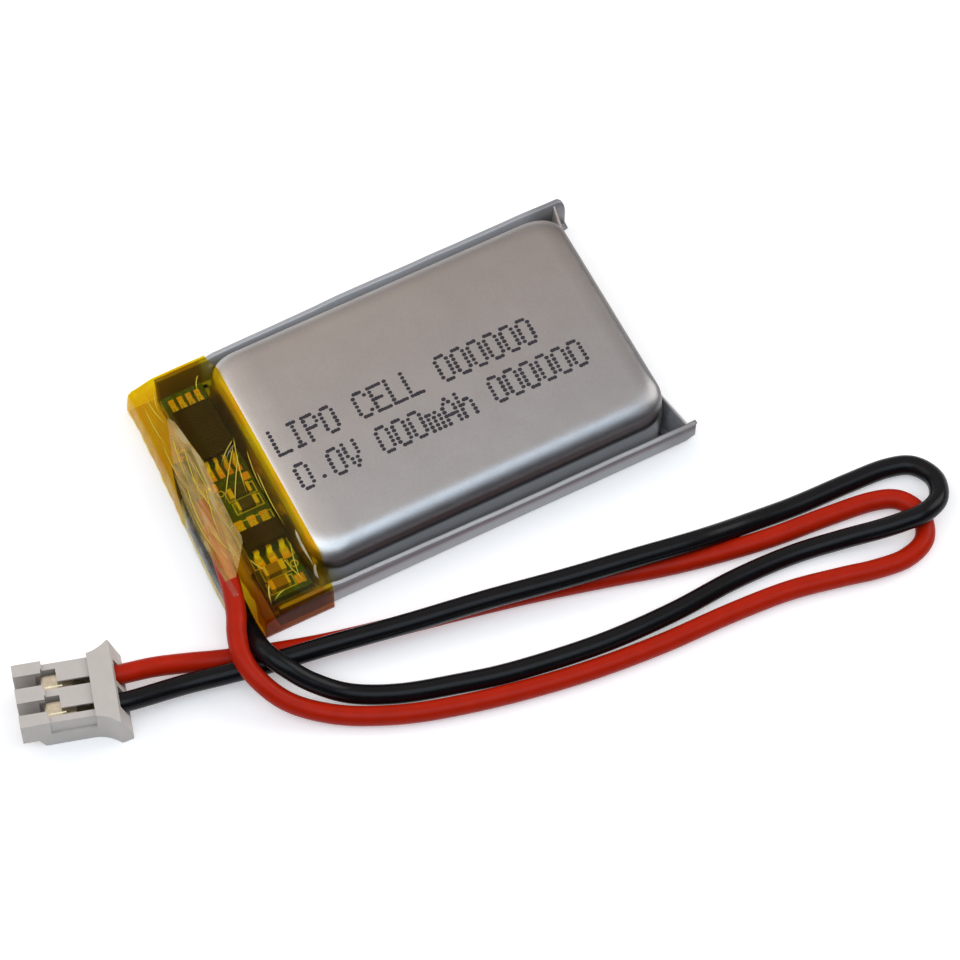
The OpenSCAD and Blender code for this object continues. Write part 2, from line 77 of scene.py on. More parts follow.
class Mat:
    """A node material in millimetre object coordinates."""

    def __init__(self, name, **sockets):
        self.mat = bpy.data.materials.new(name)
        self.mat.use_nodes = True
        self.nt = self.mat.node_tree
        self.nt.nodes.clear()
        self.out = self.new("ShaderNodeOutputMaterial")
        self.bsdf = self.new("ShaderNodeBsdfPrincipled")
        self.link(self.bsdf.outputs[0], self.out.inputs[0])
        for key, value in sockets.items():
            self.bsdf.inputs[key.replace("_", " ")].default_value = value
        coord = self.new("ShaderNodeTexCoord")
        scale = self.new("ShaderNodeMapping")
        scale.inputs["Scale"].default_value = (1000, 1000, 1000)
        self.link(coord.outputs["Object"], scale.inputs["Vector"])
        self.mm = scale.outputs["Vector"]

    def xyz(self):
        """The three object coordinates in millimetres."""
        split = self.new("ShaderNodeSeparateXYZ")
        self.link(self.mm, split.inputs[0])
        return split.outputs

    def new(self, kind):
        return self.nt.nodes.new(kind)

    def link(self, a, b):
        self.nt.links.new(a, b)

    def stretched(self, scale, rotation=(0, 0, 0)):
        m = self.new("ShaderNodeMapping")
        m.inputs["Scale"].default_value = scale
        m.inputs["Rotation"].default_value = rotation
        self.link(self.mm, m.inputs["Vector"])
        return m.outputs["Vector"]

    def noise(self, scale, detail=2.0, rough=0.5, vector=None, distortion=0.0):
        n = self.new("ShaderNodeTexNoise")
        n.inputs["Scale"].default_value = scale
        n.inputs["Detail"].default_value = detail
        n.inputs["Roughness"].default_value = rough
        n.inputs["Distortion"].default_value = distortion
        self.link(vector or self.mm, n.inputs["Vector"])
        return n.outputs["Fac"]

    def cell_edges(self, scale, vector):
        n = self.new("ShaderNodeTexVoronoi")
        n.feature = "DISTANCE_TO_EDGE"
        n.inputs["Scale"].default_value = scale
        self.link(vector, n.inputs["Vector"])
        return n.outputs["Distance"]

    def ramp(self, fac, stops):
        n = self.new("ShaderNodeValToRGB")
        fill_ramp(n, stops)
        self.link(fac, n.inputs["Fac"])
        return n.outputs["Color"]

    def grey(self, fac, a, b, lo=0.0, hi=1.0):
        n = self.new("ShaderNodeMapRange")
        n.inputs["From Min"].default_value = a
        n.inputs["From Max"].default_value = b
        n.inputs["To Min"].default_value = lo
        n.inputs["To Max"].default_value = hi
        self.link(fac, n.inputs["Value"])
        return n.outputs["Result"]

    def math(self, op, a, b):
        n = self.new("ShaderNodeMath")
        n.operation = op
        for i, v in enumerate((a, b)):
            if isinstance(v, (int, float)):
                n.inputs[i].default_value = v
            else:
                self.link(v, n.inputs[i])
        return n.outputs[0]

    def mix(self, fac, a, b, mode="MIX"):
        n = self.new("ShaderNodeMix")
        n.data_type = "RGBA"
        n.blend_type = mode
        if isinstance(fac, (int, float)):
            n.inputs[0].default_value = fac
        else:
            self.link(fac, n.inputs[0])
        for i, v in ((6, a), (7, b)):
            if isinstance(v, tuple):
                n.inputs[i].default_value = (*v, 1)
            else:
                self.link(v, n.inputs[i])
        return n.outputs[2]

    def bump(self, height, micron, strength=1.0, under=None):
        n = self.new("ShaderNodeBump")
        n.inputs["Distance"].default_value = micron * 1e-6
        n.inputs["Strength"].default_value = strength
        self.link(height, n.inputs["Height"])
        if under is not None:
            self.link(under, n.inputs["Normal"])
        return n.outputs["Normal"]

    def times(self, a, b):
        return self.mix(1.0, a, b, "MULTIPLY")

    def set(self, socket, value, node=None):
        self.link(value, (node or self.bsdf).inputs[socket])


def laminate(name, shade, metallic, far=(0.485, 0.445, 0.415), detail=None):
    """Satin pouch film with painted light: paler and cooler on the near side, painted shade: duller
    towards the far end; brown under the tape.
    """
    m = Mat(name, Metallic=metallic, Roughness=0.36)
    cloud = m.noise(0.22, 3, 0.55)
    speck = m.noise(9.0, 2, 0.7)
    x, y, z = m.xyz()
    # Painted light: the colour shifts across the film from a pale cool grey on the near side to the
    # colour far on the far side.
    tone_and_light = m.mix(m.grey(y, -9.0, 9.0), (0.505, 0.510, 0.525), far)
    # Painted shade: darker along the length towards the far end, and darker still at the far edge; the
    # last entry browns the film under the tape.
    for start, stop, darkening in (
        (-10.0, 16.0, (0.84, 0.84, 0.85)),
        (14.3, 15.9, (0.74, 0.72, 0.70)),
        (-11.0, -11.3, (0.75, 0.48, 0.35)),
    ):
        tone_and_light = m.mix(m.grey(x, start, stop), tone_and_light, m.times(tone_and_light, darkening))
    if detail is not None:
        tone_and_light = detail(m, tone_and_light, x, y, z)
    soft = m.ramp(cloud, [(0.3, (0.96,) * 3), (0.7, (1.03,) * 3)])
    fine = m.ramp(speck, [(0.25, (0.87 * shade,) * 3), (0.75, (shade,) * 3)])
    m.set("Base Color", m.times(m.times(tone_and_light, soft), fine))
    m.set("Roughness", m.grey(m.noise(1.1, 3), 0.2, 0.8, 0.31, 0.41))
    grain = m.bump(m.noise(12.0, 3, 0.65), 7, 0.55)
    m.set("Normal", m.bump(m.noise(0.35, 2), 30, 0.25, under=grain))
    return m.mat


def wall_light_and_shade(m, tone_and_light, x, y, z):
    """Painted highlight: paler, warmer film on the tab shoulder; painted light: paler, less metallic
    film low on the long walls; painted shade: a dark band under the near shoulder.
    """
    # Painted highlight: a warm pale band on the tab shoulder beside the tape's edge.
    shoulder = m.ramp(
        m.grey(x, -10.7, -8.0),
        [(0.0, (1, 1, 1)), (0.33, (0.42,) * 3), (0.67, (0.18,) * 3), (1.0, (0, 0, 0))],
    )
    tone_and_light = m.mix(m.math("MULTIPLY", shoulder, m.grey(x, -11.3, -11.0)), tone_and_light, (0.78, 0.745, 0.71))
    # Painted shade: a dark band on the near wall, under the shoulder.
    line = m.math("MULTIPLY", m.grey(z, 3.05, 3.4), m.grey(z, 4.5, 3.9))
    line = m.math("MULTIPLY", line, m.grey(y, -8.2, -8.7))
    # Painted light: the low parts of the long walls are paler and less metallic.
    low = m.math("MULTIPLY", m.grey(m.math("ABSOLUTE", y, 0), 8.75, 8.95), m.grey(z, 3.2, 2.9))
    m.set("Metallic", m.grey(low, 0, 1, 0.88, 0.15))
    return m.mix(low, m.mix(line, tone_and_light, (0.17, 0.15, 0.155)), (0.60, 0.61, 0.62))


def near_lip_light_and_shade(m, tone_and_light, _, y, z):
    """Painted shade: a dark, reddish band under the curled lip of the near side seal, with a painted
    highlight along the lip's top.
    """
    # Painted shade from about z 1.8 to 2.8 on the near side, a painted highlight at the lip's top, and
    # the rest of the seal a little darker.
    lip = m.ramp(
        m.grey(z, 1.0, 3.0),
        [(0.12, (0.80,) * 3), (0.27, (0.58, 0.47, 0.48)), (0.40, (0.20, 0.13, 0.14)),
         (0.89, (0.20, 0.14, 0.15)), (0.95, (1, 1, 1))],
    )
    near = m.mix(m.grey(y, -9.0, -9.3), (0.80,) * 3, lip)
    return m.times(tone_and_light, near)


GLOSS_FACE, GLOSS_EDGE = 0.005, 0.35


def tape_tint(m, tint, deep, darkest):
    """Colour of the amber film, darkest on the near skirt and at the lead exit."""
    x, y, z = m.xyz()
    blotch = m.mix(m.grey(m.noise(0.3, 2, 0.6), 0.42, 0.64), tint, deep)
    wrinkles = m.noise(1.1, 2, 0.6, m.stretched((2.6, 0.3, 1.0), (0, 0, 0.3)), 0.8)
    gathered = m.math("MULTIPLY", m.grey(x, -14.6, -15.3), m.grey(y, -1.0, 2.0))
    gathered = m.math("MULTIPLY", gathered, m.grey(wrinkles, 0.38, 0.55, 0.15, 1.0))
    blotch = m.mix(gathered, blotch, (0.91, 0.79, 0.05))
    skirt = m.math("MULTIPLY", m.grey(y, -10.05, -10.17), m.grey(z, 2.75, 2.45))
    lead_end = m.math("MULTIPLY", m.grey(x, -14.2, -15.0), m.grey(y, -5.0, -8.5))
    both = m.math("MAXIMUM", skirt, m.math("MULTIPLY", lead_end, 0.7))
    return m.mix(both, blotch, darkest)


def film(name, tint, haze_colour, haze, rough, bump_micron, deep=None, darkest=None):
    """A thin see-through film: a tinted clear layer, some haze, and gloss on top.

    The haze is a share of the film, or a function that lays it out and tints the clear layer.
    """
    m = Mat(name, Roughness=rough + 0.25, Base_Color=(*haze_colour, 1))
    clear = m.new("ShaderNodeBsdfTransparent")
    clear.inputs["Color"].default_value = (*tint, 1)
    if deep is not None:
        m.set("Color", tape_tint(m, tint, deep, darkest), clear)
    gloss = m.new("ShaderNodeBsdfGlossy")
    gloss.inputs["Roughness"].default_value = rough
    gloss.inputs["Color"].default_value = (1, 1, 1, 1)
    body = m.new("ShaderNodeMixShader")
    if callable(haze):
        m.link(haze(m, clear), body.inputs[0])
    else:
        cloudy = m.grey(m.noise(0.8, 3, 0.6), 0.25, 0.75, haze * 0.6, haze * 1.4)
        m.link(cloudy, body.inputs[0])
    m.link(clear.outputs[0], body.inputs[1])
    m.link(m.bsdf.outputs[0], body.inputs[2])
    skin = m.new("ShaderNodeMixShader")
    facing = m.new("ShaderNodeLayerWeight")
    facing.inputs["Blend"].default_value = 0.5
    edge = m.math("MULTIPLY", m.math("POWER", facing.outputs["Facing"], 5.0), GLOSS_EDGE)
    m.link(m.math("ADD", edge, GLOSS_FACE), skin.inputs[0])
    m.link(body.outputs[0], skin.inputs[1])
    m.link(gloss.outputs[0], skin.inputs[2])
    normal = m.bump(m.noise(1.4, 4, 0.6, distortion=0.6), bump_micron, 0.6)
    for node in (m.bsdf, gloss, facing):
        m.link(normal, node.inputs["Normal"])
    m.link(skin.outputs[0], m.out.inputs[0])
    return m.mat


def milky_streaks(m, clear):
    """Yellow and orange streaks along the milky strip, which is a little denser at its far end."""
    lay = m.stretched((2.6, 0.28, 1.0), (0, 0, 0.35))
    bands = m.noise(0.9, 3, 0.6, lay, 0.8)
    tint = m.ramp(
        bands,
        [
            (0.30, (0.96, 0.88, 0.46)),
            (0.42, (0.99, 0.84, 0.16)),
            (0.49, (0.95, 0.87, 0.56)),
            (0.56, (1.0, 0.70, 0.12)),
            (0.62, (0.97, 0.88, 0.52)),
            (0.74, (0.96, 0.93, 0.74)),
        ],
    )
    m.set("Color", tint, clear)
    m.set("Base Color", m.mix(0.5, (0.92, 0.66, 0.26), tint))
    dense = m.grey(m.xyz()[1], -5.5, 3.0, 0.18, 0.21)
    return m.math("MULTIPLY", dense, m.grey(bands, 0.38, 0.62, 0.5, 1.5))


def board():
    """Dark green laminate with paler copper areas."""
    m = Mat("board_laminate", Roughness=0.3, Coat_Weight=0.4, Coat_Roughness=0.15)
    plan = m.cell_edges(1.6, m.stretched((1.0, 0.7, 1.0)))
    copper = m.ramp(plan, [(0.10, (0.004, 0.045, 0.014)), (0.16, (0.012, 0.105, 0.030))])
    weave = m.noise(14.0, 2)
    m.set("Base Color", m.mix(m.grey(weave, 0.3, 0.7, 0.0, 0.25), copper, (0.02, 0.13, 0.04)))
    m.set("Normal", m.bump(plan, 25, 0.5))
    return m.mat


def metal(name, colour, rough, grain=20.0, micron=4):
    """Plated or bare metal with a fine grain and slight tarnish."""
    m = Mat(name, Metallic=1.0, Roughness=rough)
    n = m.noise(grain, 3, 0.6)
    dark = tuple(c * 0.82 for c in colour)
    m.set("Base Color", m.ramp(m.noise(2.5, 3), [(0.3, dark), (0.7, colour)]))
    m.set("Roughness", m.grey(n, 0.2, 0.8, rough * 0.75, rough * 1.3))
    m.set("Normal", m.bump(n, micron, 0.6))
    return m.mat


def moulded(name, colour, rough, spread=0.12, grain=9.0, micron=6, **sockets):
    """Plastic, ink, foil or paper: one colour, slightly mottled, over a fine grain."""
    m = Mat(name, Roughness=rough, **sockets)
    light = tuple(min(1, c * (1 + spread)) for c in colour)
    dark = tuple(c * (1 - spread) for c in colour)
    m.set("Base Color", m.ramp(m.noise(0.9, 4, 0.6), [(0.3, dark), (0.7, light)]))
    n = m.noise(grain, 3, 0.6)
    m.set("Roughness", m.grey(n, 0.2, 0.8, rough * 0.85, rough * 1.15))
    m.set("Normal", m.bump(n, micron, 0.5))
    return m.mat


def chip_part(name, body, centre, half):
    """Ceramic block with metal ends, told apart by distance along X from the middle."""
    m = Mat(name, Roughness=0.35)
    off = m.math("ABSOLUTE", m.math("SUBTRACT", m.xyz()[0], centre), 0)
    end = m.math("GREATER_THAN", off, half)
    grain = m.noise(10, 3)
    ceramic = m.ramp(grain, [(0.3, tuple(c * 0.7 for c in body)), (0.7, body)])
    m.set("Base Color", m.mix(end, ceramic, (0.86, 0.78, 0.6)))
    m.set("Metallic", end)
    m.set("Normal", m.bump(grain, 5, 0.5))
    return m.mat


mats = {
    "laminate": laminate("laminate_film", 1.0, 0.88, detail=wall_light_and_shade),
    # Painted highlight: the folded seal is paler and bluer towards the far side.
    "laminate_fold": laminate("laminate_fold", 1.07, 0.4, (0.56, 0.575, 0.60), near_lip_light_and_shade),
    # Painted light: the gusset webs are the same film as the cup, drawn much paler.
    "laminate_gusset": laminate("laminate_gusset", 1.8, 0.35),
    "amber": film(
        "amber_tape", (0.92, 0.85, 0.14), (0.62, 0.34, 0.01), 0.008, 0.08, 22,
        deep=(0.920, 0.765, 0.09), darkest=(0.64, 0.34, 0.05),
    ),
    "crease": moulded("amber_tape_crease", (0.62, 0.50, 0.03), 0.25, 0.15, 12, 5),
    "milky": film(
        "milky_film", (0.9, 0.88, 0.82), (0.62, 0.58, 0.48), milky_streaks, 0.16, 30
    ),
    # Painted glint: an opaque pale colour for the clear film slivers.
    "sliver": moulded("clear_film_sliver", (0.42, 0.39, 0.26), 0.2, 0.2, 10, 10),
    "clear": film("clear_film", (0.98, 0.975, 0.94), (0.6, 0.58, 0.5), 0.05, 0.06, 25),
    "board": board(),
    "silk": moulded("silkscreen_ink", (0.62, 0.62, 0.40), 0.5),
    "gold": metal("gold_plating", (0.92, 0.66, 0.25), 0.22),
    "tin": metal("tinned_metal", (0.78, 0.76, 0.72), 0.26),
    "solder": metal("solder", (0.72, 0.72, 0.72), 0.18, 6.0, 12),
    "nickel": metal("nickel", (0.66, 0.63, 0.57), 0.3),
    "aluminium": metal("aluminium_tab", (0.85, 0.85, 0.86), 0.28),
    "epoxy": moulded(
        "chip_epoxy", (0.013, 0.008, 0.004), 0.5, 0.25, 16, 3, Specular_IOR_Level=0.15
    ),
    "resistor": chip_part("resistor_ceramic", (0.03, 0.028, 0.026), -12.925, 0.53),
    "capacitor": chip_part("capacitor_ceramic", (0.36, 0.24, 0.14), -13.55, 0.47),
    "red": moulded(
        "red_insulation", (0.43, 0.014, 0.002), 0.34, 0.08, 5, 5, Specular_IOR_Level=0.12
    ),
    "black": moulded(
        "black_insulation", (0.004, 0.004, 0.005), 0.26, 0.25, 5, 6, Specular_IOR_Level=0.19
    ),
    "nylon": moulded(
        "white_nylon", (0.565, 0.52, 0.48), 0.42, 0.03, 6, 6, Subsurface_Weight=0.15
    ),
    "terminal": metal("terminal_metal", (0.84, 0.76, 0.60), 0.2),
    "ink": moulded("printing_ink", (0.016, 0.014, 0.022), 0.55, 0.3, 12, 4),
    "anode": moulded("anode_foil", (0.20, 0.12, 0.08), 0.6),
    "cathode": moulded("cathode_foil", (0.03, 0.03, 0.032), 0.6),
    "separator": moulded("separator_film", (0.8, 0.8, 0.77), 0.5),
    "end_tape": moulded("end_tape", (0.03, 0.09, 0.4), 0.4),
    "seal": moulded("seal_film", (0.66, 0.64, 0.52), 0.4),
    "paper": moulded("insulation_paper", (0.55, 0.48, 0.33), 0.7),
}
nylon = mats["nylon"].node_tree.nodes["Principled BSDF"]
nylon.inputs["Subsurface Radius"].default_value = (0.0006, 0.0005, 0.0004)


# ---------------------------------------------------------------- leads
RED = [
    (-15.5, 0, 2.3), (-15.9, -2.2, 2.3), (-16.3, -4.6, 2.4), (-16.7, -6.8, 2.6),
    (-17.3, -8.8, 2.8), (-18, -10.4, 2.9), (-18.4, -12.1, 2.9), (-18.1, -13.9, 2.5),
    (-17, -15.7, 1.6), (-15.2, -17.2, 0.9), (-12.8, -18.7, 0.7), (-9.6, -20.1, 0.7),
    (-5.8, -21.2, 0.7), (-1.6, -22.1, 0.7), (3, -22.8, 0.7), (8, -23.2, 0.7),
    (13, -23.3, 0.7), (17.4, -23.6, 0.7), (21, -24.3, 0.7), (23.6, -24.9, 0.7),
    (25.9, -25.1, 0.7), (27.7, -24.4, 0.7), (28.4, -22.7, 0.7), (27.7, -21, 0.7),
    (25.9, -20.2, 0.7), (22.5, -19.8, 0.7), (18.7, -19.5, 0.7), (15.2, -19, 0.7),
    (11.2, -18.2, 0.7), (6.7, -17, 0.7), (2, -15.8, 0.7), (-3, -14.7, 0.7),
    (-8, -13.7, 0.7), (-12.5, -12.7, 0.7), (-16, -11.7, 0.7), (-19, -10.7, 0.7),
    (-21.5, -9.9, 1), (-23.8, -9.4, 1.6), (-25.9, -9.1, 2), (-27.1, -8.8, 2),
]
BLACK = [
    (-15.5, 3.7, 1.8), (-16, 1.8, 1.3), (-16.4, -0.8, 0.9), (-16.6, -4, 0.9),
    (-16.7, -7.4, 1), (-16.8, -9.3, 1.2), (-16.9, -10.9, 2.1), (-16.9, -12.5, 3.1),
    (-16.2, -14, 3), (-14.9, -15.5, 2.1), (-12.8, -17, 1.1), (-9.8, -18.4, 0.8),
    (-6, -19.6, 0.9), (-2, -20.6, 1), (4, -21.5, 1.2), (9.5, -21.6, 1.1),
    (14.5, -21.2, 0.8), (19, -21.3, 0.7), (22.5, -21.9, 0.9), (25, -22.7, 1.6),
    (26.7, -23.1, 2), (28.3, -23.2, 2.1), (29.8, -22.5, 1.8), (30.5, -20.8, 1.2),
    (29.8, -19.1, 0.8), (28.1, -18.4, 0.7), (25.2, -18.2, 0.7), (21.5, -18.1, 0.7),
    (17.5, -17.9, 1), (13.5, -17.8, 1.8), (9, -17.2, 2.1), (4, -16.4, 2.1),
    (-1.5, -15.4, 2.1), (-7, -14.5, 2), (-12.5, -13.5, 1.9), (-16.5, -12.8, 1.7),
    (-19.6, -12, 1.3), (-22.5, -11.4, 1.3), (-26.5, -11.1, 2), (-27.6, -10.7, 2),
]
LEAD_D = 1.4
LEAD_R = LEAD_D / 2
CURVE_STEPS = 8


def catmull(points):
    """Points of the smooth curve through a route."""
    p = np.array(points, float)
    out = []
    for i in range(len(p) - 1):
        a, b = p[i], p[i + 1]
        ta = (p[i + 1] - p[max(i - 1, 0)]) / (2 if i else 1)
        tb = (p[min(i + 2, len(p) - 1)] - p[i]) / (2 if i + 2 < len(p) else 1)
        for s in range(CURVE_STEPS):
            t = s / CURVE_STEPS
            h = (2 * t**3 - 3 * t**2 + 1, t**3 - 2 * t**2 + t, 3 * t**2 - 2 * t**3, t**3 - t**2)
            out.append(h[0] * a + h[1] * ta + h[2] * b + h[3] * tb)
    out.append(p[-1])
    return np.array(out)


def lead(name, route, mat, node):
    """One insulated lead as a cord; gives back the points of its centre line."""
    data = bpy.data.curves.new(name, "CURVE")
    data.dimensions = "3D"
    data.bevel_depth = LEAD_R * MM
    data.bevel_resolution = 7
    data.resolution_u = 10
    data.use_fill_caps = True
    spline = data.splines.new("BEZIER")
    p = np.array(route) * MM
    spline.bezier_points.add(len(p) - 1)
    for i, bp in enumerate(spline.bezier_points):
        t = (p[min(i + 1, len(p) - 1)] - p[max(i - 1, 0)]) / 6
        if i in (0, len(p) - 1):
            t = t * 2
        if route[i][2] == LEAD_R:
            t[2] = 0.0
        bp.handle_left_type = bp.handle_right_type = "FREE"
        bp.co = p[i]
        bp.handle_left = p[i] - t
        bp.handle_right = p[i] + t
    obj = bpy.data.objects.new(name, data)
    bpy.context.scene.collection.objects.link(obj)
    data.materials.append(mat)
    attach(obj, "root")
    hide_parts(node)
    line = catmull(route)
    return line


red_line = lead(
    "red_lead_insulation", RED, mats["red"], "red_lead",
)
black_line = lead(
    "black_lead_insulation", BLACK, mats["black"], "black_lead",
)


# ---------------------------------------------------------------- mesh helpers
def piece(name, verts_mm, faces, mat, replaces=(), slot=None, smooth=True):
    """A mesh on the body, with its faces turned outwards."""
    mesh = bpy.data.meshes.new(name)
    mesh.from_pydata([tuple(float(c) * MM for c in v) for v in verts_mm], [], faces)
    bm = bmesh.new()
    bm.from_mesh(mesh)
    bmesh.ops.recalc_face_normals(bm, faces=bm.faces)
    bm.to_mesh(mesh)
    bm.free()
    mesh.materials.append(mat)
    for poly in mesh.polygons:
        poly.use_smooth = smooth
    obj = bpy.data.objects.new(name, mesh)
    bpy.context.scene.collection.objects.link(obj)
    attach(obj, "root")
    if replaces:
        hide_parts(*replaces)
    return obj


def smoothstep(x, a, b):
    """Eased step from 0 at a to 1 at b."""
    t = np.clip((np.asarray(x, float) - a) / (b - a), 0, 1)
    return t * t * (3 - 2 * t)


def loft(rings, cap=True):
    """Faces between equal closed rings of points, with end caps."""
    verts, faces = [], []
    n = len(rings[0])
    for r in rings:
        verts.extend(r)
    for i in range(len(rings) - 1):
        for j in range(n):
            k = (j + 1) % n
            faces.append((i * n + j, i * n + k, (i + 1) * n + k, (i + 1) * n + j))
    if cap:
        faces.append(tuple(range(n))[::-1])
        faces.append(tuple((len(rings) - 1) * n + j for j in range(n)))
    return verts, faces


def join(parts):
    """Several meshes as one list of points and one of faces."""
    verts, faces = [], []
    for v, f in parts:
        base = len(verts)
        verts.extend(v)
        faces.extend(tuple(base + i for i in face) for face in f)
    return verts, faces


def box(lo, hi):
    """A block between two corners."""
    v = [(x, y, z) for z in (lo[2], hi[2]) for y in (lo[1], hi[1]) for x in (lo[0], hi[0])]
    f = [(0, 2, 3, 1), (4, 5, 7, 6), (0, 1, 5, 4), (2, 6, 7, 3), (0, 4, 6, 2), (1, 3, 7, 5)]
    return v, f


# ---------------------------------------------------------------- pouch
CUP_X0, CUP_X1, CUP_HALF, CUP_TOP = -11.4, 16.15, 9.3, 5.0
CUP_FLAT = CUP_TOP - 0.012
CUP_MID = (CUP_X0 + CUP_X1) / 2
CUP_CORNER = 2.3
BACK_Z, SEAL_Z, MARGIN_Z = 0.08, 0.24, 0.40
TERRACE_X, TERRACE_HALF = -14.6, 9.55
TAB_Y, TAB_BED_HALF = 4.6, 2.45
FLANGE_HALF, FLANGE_H = 9.95, 2.96
FLANGE_X, FLANGE_END, FLANGE_THICK = -14.55, 17.58, 0.32
OUTER_BEND, INNER_BEND, INNER_FOOT = 0.3, 0.22, 0.62
SEAL_INNER = 9.12
LIP_ANGLE, LIP_START, LIP_RISE = math.radians(40.0), 1.9, 1.05
TIP_X, TIP_R, SWEEP_X = 17.1, 0.5, 16.9


def perimeter(r):
    """Points and outward normals round the cup's plan, with corners of radius r."""
    pts, nrm = [], []
    steps = 14
    x0, x1, y1 = CUP_X0 + r, CUP_X1 - r, CUP_HALF - r
    corners = [(x1, y1, 0), (x0, y1, 90), (x0, -y1, 180), (x1, -y1, 270)]
    for k, (cx, cy, a0) in enumerate(corners):
        for i in range(steps + 1):
            a = math.radians(a0 + 90 * i / steps)
            pts.append((cx + r * math.cos(a), cy + r * math.sin(a)))
            nrm.append((math.cos(a), math.sin(a)))
        next_x, next_y = corners[(k + 1) % 4][:2]
        a = math.radians(a0 + 90)
        start = np.array(pts[-1])
        end = np.array((next_x + r * math.cos(a), next_y + r * math.sin(a)))
        count = 64 if k % 2 == 0 else 40
        for i in range(1, count):
            pts.append(tuple(start + (end - start) * i / count))
            nrm.append((math.cos(a), math.sin(a)))
    return np.array(pts), np.array(nrm)


def waves(x, y):
    """Smooth low dents between -1 and 1, the same every run."""
    rng = np.random.RandomState(11)
    scale, count = 0.5, 14
    out = np.zeros(x.shape)
    for _ in range(count):
        a = rng.uniform(0, 2 * math.pi)
        k = rng.uniform(0.5, 1.6) / scale
        out += np.sin(k * (x * math.cos(a) + y * math.sin(a)) + rng.uniform(0, 6.28)) / count
    return out


def cup_drop(x, y):
    """How far the pillowed top lies below its middle."""
    across = np.minimum(np.abs(y) / 8.0, 1.1)
    ahead = np.clip((x - 2.35) / 12.0, -1.1, 1.1)
    return 0.10 * across**2 + 0.03 * ahead**2


def cup_shell():
    """Drawn cup: a flared foot, drafted walls, a rounded shoulder and the pillowed top."""
    pts, nrm = perimeter(CUP_CORNER)
    nx = nrm[:, 0]
    far = np.where(nx > 0, nx**2, 0.0)
    tab = np.where(nx < 0, nx**2, 0.0)
    fillet = 1.75 * (1 - far - tab) + 0.9 * far + 1.0 * tab
    rings = []

    def ring(inset, z):
        p = pts - nrm * np.asarray(inset)[:, None]
        rings.append(np.column_stack([p, z]))

    foot = MARGIN_Z * (1 - far) + BACK_Z * far
    flare = 0.2
    for inset, z in ((-0.24, 0.0), (-0.13, 0.015), (-0.05, 0.07), (0.0, flare)):
        out = inset * (1 - far) + (0.28 + inset * 1.15) * far * (1 if inset < 0 else 0)
        ring(out, foot + z)
    draft = 0.16 * (1 - 0.8 * far)
    for s in np.linspace(0.12, 1, 7):
        z = foot + flare + (CUP_FLAT - fillet - foot - flare) * s
        belly = 0.05 * np.sin(s * math.pi)
        ring(draft * s - belly, z)
    for a in np.linspace(0, math.pi / 2, 15)[1:]:
        soft = 1 - math.cos(a)
        inset = draft + fillet * soft
        pts = perimeter(CUP_CORNER + 1.6 * soft)[0]
        p = pts - nrm * inset[:, None]
        drop = cup_drop(p[:, 0], p[:, 1]) * math.sin(a)
        ring(inset, CUP_FLAT - fillet * (1 - math.sin(a)) - drop)
    edge = rings[-1]
    centre = np.array([CUP_MID, 0])
    for s in np.linspace(1, 0.03, 28)[1:]:
        p = centre + (edge[:, :2] - centre) * s
        rings.append(np.column_stack([p, CUP_FLAT - cup_drop(p[:, 0], p[:, 1])]))
    return loft([[tuple(v) for v in r] for r in rings])


def arc(y, z, r, start, stop):
    """Six points of an arc in a section, as y and z."""
    angles = [math.radians(a) for a in np.linspace(start, stop, 6)]
    return [(y + r * math.cos(a), z + r * math.sin(a)) for a in angles]


def flange_ring(x, side):
    """Section of one folded side seal at x, as a closed ring."""
    free = 0.3 + 0.25 * float(smoothstep(x, -10.7, -9.9)) + 0.45 * float(smoothstep(x, -10.7, 3.0))
    wave = (0.014 * math.sin(x * 0.55 + side) + 0.007 * math.sin(x * 1.7 + 2 * side)) * free
    h = FLANGE_H + 0.015 * math.sin(x * 0.9 + 1.3 * side) * free
    tip = max(0.0, x - TIP_X)
    h -= TIP_R - math.sqrt(max(0.0, TIP_R**2 - tip**2))
    z0 = BACK_Z + 0.5 * max(0.0, x - SWEEP_X)
    levels = (0.25, 0.5, 0.65, 0.75, 0.85, 0.93)
    inner = FLANGE_HALF - FLANGE_THICK
    bend_top = z0 + OUTER_BEND
    ring = arc(FLANGE_HALF - OUTER_BEND, bend_top, OUTER_BEND, -90, 0)
    ring += [(FLANGE_HALF, bend_top + (h - bend_top) * s) for s in levels]
    for inset, drop in (
        (0.0, 0.05), (0.05, 0.0), (0.13, 0.0), (0.16, 0.03), (0.19, 0.01), (0.27, 0.01),
        (FLANGE_THICK, 0.06),
    ):
        ring.append((FLANGE_HALF - inset, h - drop))
    ring += [(inner, INNER_FOOT + (h - INNER_FOOT) * s) for s in levels[::-1]]
    ring += arc(inner - INNER_BEND, INNER_FOOT, INNER_BEND, 0, -90)
    ring += [(SEAL_INNER, MARGIN_Z), (SEAL_INNER, z0)]
    out = []
    for y, z in ring:
        rise = max(0.0, z - MARGIN_Z)
        tilt = LIP_ANGLE * min(1.0, max(0.0, (z - LIP_START) / LIP_RISE))
        curl = -1.5 * free * math.log(math.cos(tilt))
        yy = y + wave * rise / 2.6 + curl
        out.append((x, side * yy, z))
    return out


def flanges():
    """Both folded side seals, with closer stations where their far ends are rounded."""
    stations = [*np.linspace(FLANGE_X, 16.6, 150), *np.linspace(16.7, FLANGE_END, 14)]
    return join([loft([flange_ring(float(x), side) for x in stations]) for side in (-1, 1)])


